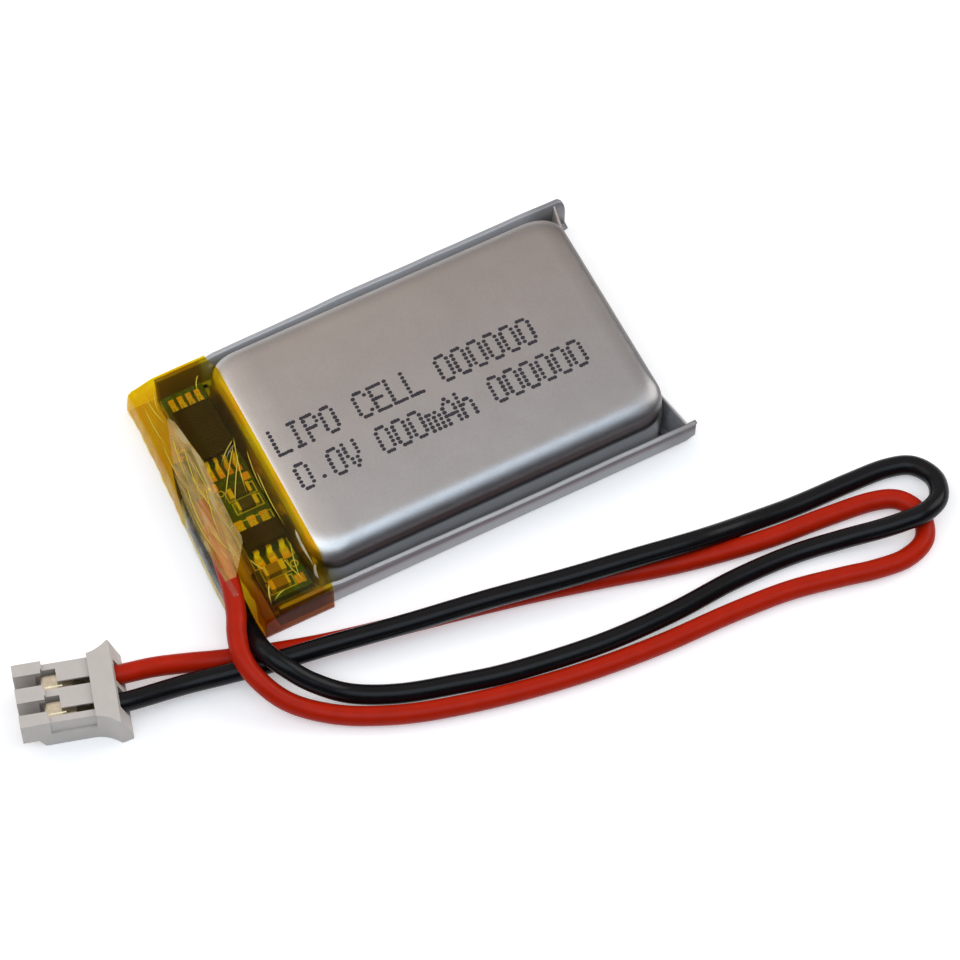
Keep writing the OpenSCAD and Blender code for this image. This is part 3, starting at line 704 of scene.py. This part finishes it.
def web(side):
    """Thin creased web that closes the end of the trough."""
    nu, nv, half, dent = 18, 12, 0.06, 0.16
    base = [np.array(p) for p in ((16.02, 7.0, 0.12), (16.12, 8.4, 0.12), (16.35, 9.72, 0.2))]
    top = [np.array(p) for p in ((16.12, 6.3, 2.9), (16.5, 8.1, 2.75), (16.85, 10.05, 2.8))]

    def path(pts, t):
        return pts[0] * (1 - t) ** 2 + 2 * pts[1] * t * (1 - t) + pts[2] * t * t

    outer, inner = [], []
    for i in range(nu + 1):
        u = i / nu
        lo, hi = path(base, u), path(top, u)
        for j in range(nv + 1):
            v = j / nv
            p = lo + (hi - lo) * v
            crease = math.exp(-(((u - 0.55 - 0.2 * (v - 0.5)) / 0.10) ** 2)) * math.sin(math.pi * v)
            p = p - np.array([dent * crease, 0, 0])
            outer.append((p[0] + half, side * p[1], p[2]))
            inner.append((p[0] - half, side * p[1], p[2]))
    n = (nu + 1) * (nv + 1)
    faces = []
    for i in range(nu):
        for j in range(nv):
            a = i * (nv + 1) + j
            quad = (a, a + nv + 1, a + nv + 2, a + 1)
            faces.append(quad)
            faces.append(tuple(n + k for k in reversed(quad)))
    rim = [i * (nv + 1) for i in range(nu + 1)]
    rim += [nu * (nv + 1) + j for j in range(1, nv + 1)]
    rim += [i * (nv + 1) + nv for i in range(nu - 1, -1, -1)]
    rim += list(range(nv - 1, 0, -1))
    faces += [(a, n + a, n + b, b) for a, b in zip(rim, rim[1:] + rim[:1])]
    return outer + inner, faces


def terrace():
    """Upper layer of the terrace seal, with its bed raised over each tab."""
    rise, slope, low = 0.1, 0.35, SEAL_Z + 0.01
    rings = []
    for x in np.linspace(TERRACE_X, -10.9, 20):
        top = []
        for y in np.linspace(-TERRACE_HALF, TERRACE_HALF, 120):
            bed = float(smoothstep(TAB_BED_HALF - abs(abs(y) - TAB_Y), 0, slope))
            top.append((x, y, MARGIN_Z + rise * bed))
        rings.append(top + [(x, TERRACE_HALF, low), (x, -TERRACE_HALF, low)])
    return loft(rings)


def corner_patches():
    """Flat film that closes the floor of each trough at the far corners."""
    parts = []
    for side in (-1, 1):
        for x1, y0, y1, top in ((16.42, 8.1, 9.5, MARGIN_Z), (16.13, 7.2, 8.3, 0.3)):
            ys = sorted((side * y0, side * y1))
            parts.append(box((15.6, ys[0], BACK_Z), (x1, ys[1], top)))
    return join(parts)


back_sheet = box((TERRACE_X, -9.4, BACK_Z), (15.95, 9.4, SEAL_Z))
piece(
    "pouch_cup_skin", *join([cup_shell(), terrace()]), mats["laminate"],
    replaces=["pouch_formed_cup"], slot="laminate_film",
)
piece("pouch_gussets", *join([web(-1), web(1)]), mats["laminate_gusset"], slot="laminate_film")
piece(
    "pouch_back_skin", *join([flanges(), back_sheet, corner_patches()]), mats["laminate_fold"],
    replaces=["pouch_back_sheet"], slot="laminate_film",
)

# ---------------------------------------------------------------- tape surface
X_END = -10.62
TAPE_HALF, FLOOR_HALF, FILM_REST = 10.18, 10.16, 3.0
BOARD_TOP = 2.1


def left_edge(y):
    """The wall of the tape at the board end bulges out towards the leads."""
    y = np.asarray(y, float)
    return -16.75 - 0.75 * smoothstep(-y, -9.5, 7.5)


def roof_start(y):
    """Where the wall at the board end turns into the film over the board."""
    return left_edge(y) + 0.38


def cup_height(x, y):
    """Height of the formed cup over a point in plan."""
    r = 2.0
    qx = np.abs(x - CUP_MID) - ((CUP_X1 - CUP_X0) / 2 - r)
    qy = np.abs(y) - (CUP_HALF - r)
    outside = np.hypot(np.maximum(qx, 0), np.maximum(qy, 0))
    d = r - outside - np.minimum(np.maximum(qx, qy), 0)
    lateral = smoothstep(qy - qx, -0.5, 0.5)
    shoulder, wall = 1.0 + 0.55 * lateral, 0.1
    t = np.clip((d - wall) / shoulder, 0, 1)
    z = CUP_FLAT - shoulder + shoulder * np.sqrt(np.clip(1 - (1 - t) ** 2, 0, 1))
    z = z - cup_drop(x, y) * t
    return np.where(d < 0, 0.0, np.where(d < wall, (CUP_TOP - shoulder) * d / wall, z))


BLOCKS = [
    (-14.7, -11.55, -8.8, 8.8, BOARD_TOP),  # board
    (-14.6, -11.65, 2.65, 7.05, 3.1),  # MOSFET body
    (-14.25, -12.0, 1.75, 7.95, 2.75),  # MOSFET leads
    (-14.58, -11.68, -5.1, -3.5, 3.2),  # protection chip body
    (-14.2, -12.0, -5.8, -2.8, 2.8),  # protection chip leads
    (-13.8, -12.1, -1.8, 0.1, 2.56),  # resistors
    (-14.3, -12.7, -8.3, -6.4, 2.72),  # capacitors
]
JOINTS = [(-14.95, 0.9, BOARD_TOP), (-14.95, 4.5, BOARD_TOP)]
JOINT_R = 0.55


def obstacle(x, y):
    """Highest surface under the tape at each point."""
    s = np.full(x.shape, 0.5)
    for x0, x1, y0, y1, z in BLOCKS:
        inside = (x >= x0) & (x <= x1) & (y >= y0) & (y <= y1)
        s[inside] = np.maximum(s[inside], z)
    balls = [(JOINT_R, p) for p in JOINTS]
    for line in (red_line, black_line):
        balls += [(LEAD_R, p) for p in line[:4 * CURVE_STEPS:2]]
    for r, p in balls:
        d2 = r**2 - (x - p[0]) ** 2 - (y - p[1]) ** 2
        s = np.where(d2 > 0, np.maximum(s, p[2] + np.sqrt(np.maximum(d2, 0))), s)
    flange = (np.abs(y) > 9.65) & (np.abs(y) < 10.1) & (x > TERRACE_X)
    s[flange] = np.maximum(s[flange], FLANGE_H)
    return np.maximum(s, cup_height(x, y))


NX, NY, GRID_HALF = 92, 300, 10.19
FILM_GAP, RELAX_STEPS = 0.03, 1500
grid_y = np.linspace(-GRID_HALF, GRID_HALF, NY)


def relax():
    """Heights of a taut film over everything under it, on a grid of NY rows and NX columns."""
    U, Y = np.meshgrid(np.linspace(0, 1, NX), grid_y)
    start = roof_start(Y)
    X = start + (X_END - start) * U
    s = obstacle(X, Y) + FILM_GAP
    rim = 2.45 + 0.55 * smoothstep(X, left_edge(Y) + 0.4, -14.4)
    edge = 2.5 + 0.10 * np.sin(grid_y * 0.9) - 0.25 * smoothstep(grid_y, 3, 9)
    z = np.maximum(s, FILM_REST)
    z[0, :], z[-1, :] = rim[0, :], rim[-1, :]
    z[:, 0] = edge
    for _ in range(RELAX_STEPS):
        avg = z.copy()
        avg[1:-1, 1:-1] = 0.25 * (z[1:-1, :-2] + z[1:-1, 2:] + z[:-2, 1:-1] + z[2:, 1:-1])
        avg[1:-1, -1] = avg[1:-1, -2]
        z[1:-1, 1:] = np.maximum(avg[1:-1, 1:], s[1:-1, 1:])
        z[0, -12:] = np.maximum(rim[0, -12:], FILM_REST)
    return np.minimum(z, CUP_TOP + 0.045)


roof = relax()


def roof_z(x, y):
    """The film's height at any point, from the grid."""
    x0 = roof_start(y)
    u = np.clip((x - x0) / (X_END - x0), 0, 1) * (NX - 1)
    v = np.clip((y - grid_y[0]) / (grid_y[-1] - grid_y[0]), 0, 1) * (NY - 1)
    i, j = np.minimum(u.astype(int), NX - 2), np.minimum(v.astype(int), NY - 2)
    a, b = u - i, v - j
    return (
        roof[j, i] * (1 - a) * (1 - b) + roof[j, i + 1] * a * (1 - b)
        + roof[j + 1, i] * (1 - a) * b + roof[j + 1, i + 1] * a * b
    )


# Each crease has its start, its end, how far it lifts the film, and its width.
CREASES = [
    ((-11.95, 2.65), (-13.5, 1.45), 0.10, 0.07),
    ((-12.0, 2.4), (-14.6, -1.5), 0.06, 0.07),
    ((-12.05, 1.6), (-14.3, -2.6), 0.06, 0.07),
    ((-11.8, 2.9), (-12.9, -1.9), 0.05, 0.07),
    ((-11.5, 1.4), (-11.85, -2.5), 0.05, 0.06),
    ((-11.6, -0.4), (-11.7, -5.5), 0.05, 0.07),
    ((-11.9, -6.2), (-12.4, -9.2), 0.06, 0.07),
    ((-12.8, -6.9), (-12.0, -9.4), 0.05, 0.06),
    ((-14.8, -5.8), (-13.9, -7.4), 0.07, 0.08),
    ((-15.6, 9.0), (-15.2, 6.2), 0.06, 0.08),
    ((-16.0, 8.6), (-15.9, 4.8), 0.05, 0.07),
    ((-14.9, 9.4), (-15.3, 7.2), 0.05, 0.07),
    ((-16.1, 5.4), (-16.2, 1.0), 0.05, 0.08),
    ((-11.8, 8.6), (-12.4, 7.3), 0.05, 0.07),
    ((-14.4, -8.0), (-14.9, -9.6), 0.07, 0.09),
    ((-13.6, -8.9), (-14.7, -9.4), 0.06, 0.08),
]


def crease_z(x, y):
    """How far the creases lift the film at each point."""
    z = np.zeros(x.shape)
    for (ax, ay), (bx, by), amp, w in CREASES:
        dx, dy = bx - ax, by - ay
        length = math.hypot(dx, dy)
        t = ((x - ax) * dx + (y - ay) * dy) / length**2
        off = ((x - ax) * dy - (y - ay) * dx) / length
        bow = 0.12 * np.sin(np.clip(t, 0, 1) * math.pi)
        taper = smoothstep(t, -0.05, 0.12) * (1 - smoothstep(t, 0.7, 1.05))
        z += amp * taper * np.exp(-(((off - bow) / w) ** 2))
    return z


SKIRT_FOOT, SKIRT_OUT = 0.06, 0.05


def wall_points(x, y, top, foot, bulge):
    """Points of the film's wall at the board end, from its foot up to the roof."""
    points = []
    for s in np.linspace(1, 0, 13)[:-1]:
        t = s * math.pi / 2
        z = top - max(0.0, top - foot) * (1 - math.cos(t))
        wobble = 0.03 * math.sin(y * 2.1 + 3 * s) + 0.02 * math.sin(y * 5.3 - 4 * s)
        points.append((x - bulge * math.sin(t * 0.999) ** 0.7 + wobble * s, y, z))
    return points


def draped(name, x_left, x_right, ys, lift, thick, mat, wall=None, skirts=False, columns=100,
           replaces=(), slot=None, creases=1.0):
    """A film over the roof between two edges; it may have a wall at its left edge and side skirts."""
    rows = []
    for y in ys:
        xl, xr = float(x_left(y)), float(x_right(y))
        xs = xl + (xr - xl) * np.linspace(0, 1, columns)
        yy = np.full(columns, y)
        z = roof_z(xs, yy) + lift + creases * crease_z(xs, yy)
        z = z + 0.012 * waves(xs, yy)
        row = [(x, y, height) for x, height in zip(xs, z)]
        if wall:
            row = wall_points(xl, y, z[0], *wall(y)) + row
        rows.append(row)
    if skirts:
        for end, sgn in ((0, -1), (-1, 1)):
            extra = [
                [
                    (x, y + sgn * SKIRT_OUT * min(1, s * 6), z + (SKIRT_FOOT - z) * s)
                    for x, y, z in rows[end]
                ]
                for s in np.linspace(0, 1, 12)[1:]
            ]
            rows = extra[::-1] + rows if end == 0 else rows + extra
    verts = [v for row in rows for v in row]
    n = len(rows[0])
    faces = [
        (i * n + j, i * n + j + 1, (i + 1) * n + j + 1, (i + 1) * n + j)
        for i in range(len(rows) - 1) for j in range(n - 1)
    ]
    obj = piece(name, verts, faces, mat, replaces, slot)
    up = sum(p.normal.z for p in obj.data.polygons)
    if up < 0:
        obj.data.flip_normals()
    solid = obj.modifiers.new("thickness", "SOLIDIFY")
    solid.thickness = thick * MM
    solid.offset = -1.0
    solid.use_rim = True


def amber_left(y):
    """Amber film ends short of the lead exit near the front corner."""
    shift = smoothstep(-y, 0.2, 3.2)
    return roof_start(y) * (1 - shift) + (-15.75 + 0.25 * smoothstep(-y, 6, 9)) * shift


def amber_wall(y):
    """Foot of the amber wall and how far it bulges: open at the lead exit."""
    closed = 1 - float(smoothstep(-y, 0.2, 3.2))
    flap = float(smoothstep(-y, 8.2, 9.2))
    drop = 0.05 * closed + (1 - closed) * (2.2 * (1 - flap) + 0.5 * flap)
    return drop, 0.33 * closed + 0.12 * (1 - closed) + 0.2 * flap


draped(
    "amber_tape_wrap", amber_left, lambda y: X_END, np.linspace(-TAPE_HALF, TAPE_HALF, 300), 0.0, 0.05,
    mats["amber"], amber_wall, skirts=True, replaces=["polyimide_tape_wrap"], slot="amber_tape",
)


def crease_folds(lines, lift):
    """Bright pinched folds standing on the film along each line."""
    parts = []
    n = 26
    for (ax, ay), (bx, by), _, w in lines:
        t = np.linspace(0.02, 0.9, n)
        length = math.hypot(bx - ax, by - ay)
        px, py = -(by - ay) / length, (bx - ax) / length
        bow = -0.12 * np.sin(t * math.pi)
        x, y = ax + (bx - ax) * t + px * bow, ay + (by - ay) * t + py * bow
        z = roof_z(x, y) + crease_z(x, y) + lift
        half = 0.5 * w * smoothstep(t, 0.0, 0.15) * (1 - smoothstep(t, 0.5, 0.92)) + 0.006
        rings = []
        for i in range(n):
            u, v, h = px * half[i], py * half[i], 0.3 * half[i]
            rings.append([
                (x[i] - u, y[i] - v, z[i] - 0.02), (x[i] - 0.5 * u, y[i] - 0.5 * v, z[i] + h),
                (x[i] + 0.5 * u, y[i] + 0.5 * v, z[i] + h), (x[i] + u, y[i] + v, z[i] - 0.02),
            ])
        parts.append(loft(rings))
    return join(parts)


STRIP_LINES = [
    ((-15.3, 5.5), (-15.9, 1.2), 0, 0.07), ((-15.0, 4.3), (-15.6, -0.6), 0, 0.06),
    ((-15.5, 2.2), (-15.1, -2.7), 0, 0.07), ((-16.1, 1.6), (-16.5, -3.0), 0, 0.06),
    ((-15.0, 0.9), (-15.9, -4.2), 0, 0.06), ((-16.2, -2.2), (-15.4, -5.4), 0, 0.06),
    ((-16.6, -0.6), (-16.4, -5.2), 0, 0.05), ((-14.9, 2.9), (-14.8, -1.4), 0, 0.05),
]
# Slivers of clear film, drawn as opaque pale pieces whose pale colour is a painted glint.
GLINTS = [
    ((-11.28, -5.7), (-11.22, -8.9), 0, 0.20), ((-11.15, -8.5), (-11.25, -9.5), 0, 0.22),
    ((-12.0, 2.3), (-12.9, 1.7), 0, 0.06),
]
folds = join([crease_folds(CREASES, 0.0), crease_folds(STRIP_LINES, 0.075)])
piece("amber_tape_creases", *folds, mats["crease"], slot="amber_tape")
piece("clear_film_slivers", *crease_folds(GLINTS, 0.012), mats["sliver"], slot="milky_film")

STRIP_RIGHT = [
    (6.8, -15.0), (6.3, -14.75), (2.5, -14.3), (0.0, -14.45), (-3.0, -14.6), (-3.9, -14.5),
    (-4.4, -14.65), (-5.2, -15.2), (-6.6, -16.2),
]
STRIP_LEFT = [(6.8, -15.1), (6.4, -15.2), (2.7, -16.45), (1.0, -16.7), (-3.0, -16.95), (-6.6, -17.0)]


def along(table, y):
    """The x of an edge at y, from its points."""
    ys, xs = zip(*table[::-1])
    return float(np.interp(y, ys, xs))


def strip_left(y):
    """Left edge of the milky strip, which stops at the wall of the tape."""
    return max(along(STRIP_LEFT, y), float(roof_start(y)))


def strip_wall(y):
    """Foot and bulge of the clear film's wall, which lifts over the leads."""
    down = float(smoothstep(-y, -1.6, 0.6))
    return 0.15 + 2.2 * (1 - down), 0.34 * down + 0.02


draped(
    "milky_fixing_strip", strip_left, lambda y: along(STRIP_RIGHT, y), np.linspace(-6.6, 6.8, 170),
    0.06, 0.05, mats["milky"], columns=40, replaces=["lead_fixing_strip"], slot="milky_film",
    creases=1.3,
)
draped(
    "clear_overlap_film", roof_start, lambda y: strip_left(y) + 0.35, np.linspace(-8.0, 0.9, 90),
    0.03, 0.04, mats["clear"], strip_wall, columns=12, slot="milky_film",
)


def floor_ring(y):
    """Section of the film under the pack."""
    x, low, high = float(left_edge(y)) + 0.1, 0.02, 0.075
    return [(x, y, low), (X_END, y, low), (X_END, y, high), (x, y, high)]


piece(
    "amber_tape_floor", *loft([floor_ring(y) for y in np.linspace(-FLOOR_HALF, FLOOR_HALF, 40)]),
    mats["amber"], slot="amber_tape", smooth=False,
)

# ---------------------------------------------------------------- silkscreen
INK_LOW, INK_HIGH = BOARD_TOP - 0.01, BOARD_TOP + 0.015


def ink_loop(inner, outer):
    """Closed line of ink between two loops of points."""
    rings = [
        [(*a, INK_LOW), (*b, INK_LOW), (*b, INK_HIGH), (*a, INK_HIGH)]
        for a, b in zip(inner, outer)
    ]
    v, f = loft(rings + rings[:1], cap=False)
    keep = len(rings) * 4
    return v[:keep], [tuple(i % keep for i in face) for face in f]


def outline(x0, x1, y0, y1, w=0.09):
    """Rectangle of ink round a part."""

    def corners(a):
        return [(x0 + a, y0 + a), (x1 - a, y0 + a), (x1 - a, y1 - a), (x0 + a, y1 - a)]

    return ink_loop(corners(w), corners(0))


def annulus(cx, cy, r0, r1, n=32):
    """Ring of ink between two radii."""

    def circle(r):
        angles = [2 * math.pi * k / n for k in range(n)]
        return [(cx + r * math.cos(a), cy + r * math.sin(a)) for a in angles]

    return ink_loop(circle(r0), circle(r1))


piece(
    "board_silkscreen",
    *join([
        outline(-13.95, -11.75, -0.75, 0.2), outline(-13.85, -11.75, -1.85, -0.85),
        outline(-14.4, -12.3, -7.35, -6.4), outline(-14.5, -12.5, -8.45, -7.5),
        outline(-14.65, -11.6, -6.25, -2.35, 0.07),
        annulus(-14.15, 0.2, 0.17, 0.26), annulus(-12.0, -6.9, 0.2, 0.3),
    ]),
    mats["silk"], smooth=False,
)

# ---------------------------------------------------------------- print on the cup
FONT = {
    "L": "10000/10000/10000/10000/10000/10000/11111",
    "I": "01110/00100/00100/00100/00100/00100/01110",
    "P": "11110/10001/10001/11110/10000/10000/10000",
    "O": "01110/10001/10001/10001/10001/10001/01110",
    "C": "01110/10001/10000/10000/10000/10001/01110",
    "E": "11111/10000/10000/11110/10000/10000/11111",
    "V": "10001/10001/10001/10001/01010/01010/00100",
    "A": "00100/01010/10001/10001/11111/10001/10001",
    "m": "00000/00000/11010/10101/10101/10101/10101",
    "h": "10000/10000/10110/11001/10001/10001/10001",
    "0": "01110/10001/10001/10001/10001/10001/01110",
    ".": "00000/00000/00000/00000/00000/00100/00000",
    " ": "00000/00000/00000/00000/00000/00000/00000",
}
DOT_SUNK, DOT_PROUD = 0.03, 0.012


def dot_row(text, x0, y0, pitch, height, seed):
    """Ink dots of one line, as low discs on the cup's top."""
    rng = np.random.RandomState(seed)
    parts = []
    dx, dy = pitch / 6.0, height / 6.0
    sides = 10
    for k, ch in enumerate(text):
        for r, bits in enumerate(FONT[ch].split("/")):
            for c, bit in enumerate(bits):
                if bit != "1":
                    continue
                cx = x0 + k * pitch + c * dx + rng.uniform(-0.012, 0.012)
                cy = y0 + height / 2 - r * dy + rng.uniform(-0.015, 0.015)
                radius = rng.uniform(0.13, 0.155)
                z = CUP_FLAT - float(cup_drop(cx, cy))
                rim = [
                    (cx + 1.12 * radius * math.cos(2 * math.pi * i / sides),
                     cy + radius * math.sin(2 * math.pi * i / sides))
                    for i in range(sides)
                ]
                lower = [(x, y, z - DOT_SUNK) for x, y in rim]
                upper = [(x, y, z + DOT_PROUD) for x, y in rim]
                parts.append(loft([lower, upper]))
    return join(parts)


piece(
    "printed_dots",
    *join([
        dot_row("LIPO CELL 000000", -9.75, 0.6, 1.27, 1.95, 5),
        dot_row("0.0V 000mAh 000000", -9.4, -2.55, 1.24, 1.95, 6),
    ]),
    mats["ink"], smooth=False,
)

# ---------------------------------------------------------------- CAD nodes that stay
for name, key in {
    "anode_foil_winding": "anode", "cathode_foil_winding": "cathode",
    "separator_winding": "separator", "winding_end_tape": "end_tape",
    "positive_tab": "aluminium", "negative_tab": "nickel", "tab_seal_films": "seal",
    "terrace_insulation_strip": "paper", "tab_weld_plates": "nickel", "circuit_board": "board",
    "board_gold_pads": "gold", "mosfet_body": "epoxy", "mosfet_leads": "tin",
    "protection_chip_body": "epoxy", "protection_chip_leads": "tin",
    "chip_resistors": "resistor", "chip_capacitors": "capacitor",
    "red_conductor_end": "tin", "black_conductor_end": "tin", "lead_solder_joints": "solder",
    "plug_housing": "nylon", "red_crimp_terminal": "terminal", "black_crimp_terminal": "terminal",
}.items():
    obj = nodes[name]
    if obj.material_slots:
        for s in obj.material_slots:
            s.material = mats[key]
    else:
        obj.data.materials.append(mats[key])

# The plug's edges are broken as far as its shortest edge allows.
PLUG_WELD, PLUG_BEVEL = 0.002, 0.17
plug = nodes["plug_housing"]
plug.modifiers.new("one_skin", "WELD").merge_threshold = PLUG_WELD * MM
flat = plug.modifiers.new("flat_faces", "DECIMATE")
flat.decimate_type = "DISSOLVE"
flat.angle_limit = math.radians(1.0)
bevel = plug.modifiers.new("edges", "BEVEL")
bevel.width = PLUG_BEVEL * MM
bevel.segments = 3
bevel.limit_method = "ANGLE"
bevel.angle_limit = math.radians(25)
bevel.harden_normals = False
plug.modifiers.new("shading", "WEIGHTED_NORMAL")

# ---------------------------------------------------------------- floor and light
FLOOR = 3
mesh = bpy.data.meshes.new("floor")
floor_corners = [(-FLOOR, -FLOOR, 0), (FLOOR, -FLOOR, 0), (FLOOR, FLOOR, 0), (-FLOOR, FLOOR, 0)]
mesh.from_pydata(floor_corners, [], [(0, 1, 2, 3)])
floor = bpy.data.objects.new("floor", mesh)
bpy.context.scene.collection.objects.link(floor)
fm = Mat("floor_paper", Roughness=0.75)
fm.set("Base Color", fm.ramp(fm.noise(0.02, 2), [(0.3, (0.88,) * 3), (0.7, (0.9,) * 3)]))
fm.bsdf.inputs["Specular IOR Level"].default_value = 0.2
fm.bsdf.inputs["Emission Color"].default_value = (1, 1, 1, 1)
# The paper glows a little when it is seen from above, and not along the floor.
facing = fm.new("ShaderNodeLayerWeight")
facing.inputs["Blend"].default_value = 0.5
fm.set("Emission Strength", fm.grey(facing.outputs["Facing"], 0.16, 0.5, 0.30, 0.0))
mesh.materials.append(fm.mat)

world = bpy.data.worlds.new("studio")
bpy.context.scene.world = world
world.use_nodes = True
wt = world.node_tree
ray = wt.nodes.new("ShaderNodeTexCoord")
lean = wt.nodes.new("ShaderNodeVectorMath")
lean.operation = "DOT_PRODUCT"
lean.inputs[1].default_value = (-0.10, 0.52, 0.85)
wt.links.new(ray.outputs["Generated"], lean.inputs[0])
sky = wt.nodes.new("ShaderNodeValToRGB")
fill_ramp(sky, [
    (0.0, (0.035, 0.032, 0.034)), (0.30, (0.06, 0.055, 0.058)),
    (0.62, (0.33, 0.33, 0.35)), (0.95, (0.74, 0.665, 0.62)),
])
shift = wt.nodes.new("ShaderNodeMapRange")
shift.inputs["From Min"].default_value = -0.4
shift.inputs["From Max"].default_value = 1.0
wt.links.new(lean.outputs["Value"], shift.inputs["Value"])
wt.links.new(shift.outputs["Result"], sky.inputs["Fac"])
wt.links.new(sky.outputs["Color"], wt.nodes["Background"].inputs["Color"])
wt.nodes["Background"].inputs["Strength"].default_value = 1.0


def softbox(name, direction, dist, size, radiance, colour):
    """Rectangular light aimed at the origin; its energy follows from its size and radiance."""
    data = bpy.data.lights.new(name, "AREA")
    data.shape = "RECTANGLE"
    data.size, data.size_y = size
    data.energy = radiance * math.pi * size[0] * size[1]
    data.color = colour
    obj = bpy.data.objects.new(name, data)
    bpy.context.scene.collection.objects.link(obj)
    obj.location = Vector(direction).normalized() * dist
    look_at(obj, (0, 0, 0))


softbox("overhead", (-0.17, -0.33, 0.92), 0.7, (0.8, 0.5), 1.8, (0.72, 0.87, 1.0))
softbox("key", (0.82, -0.06, 0.60), 0.9, (0.6, 0.6), 2.6, (1.0, 0.97, 0.93))
softbox("back_left", (-0.58, 0.42, 0.66), 0.8, (0.6, 0.5), 0.85, (1.0, 0.95, 0.94))

view = bpy.context.scene.view_settings
view.view_transform = "Standard"
view.look = "None"
view.exposure = 0.0
view.gamma = 1.0
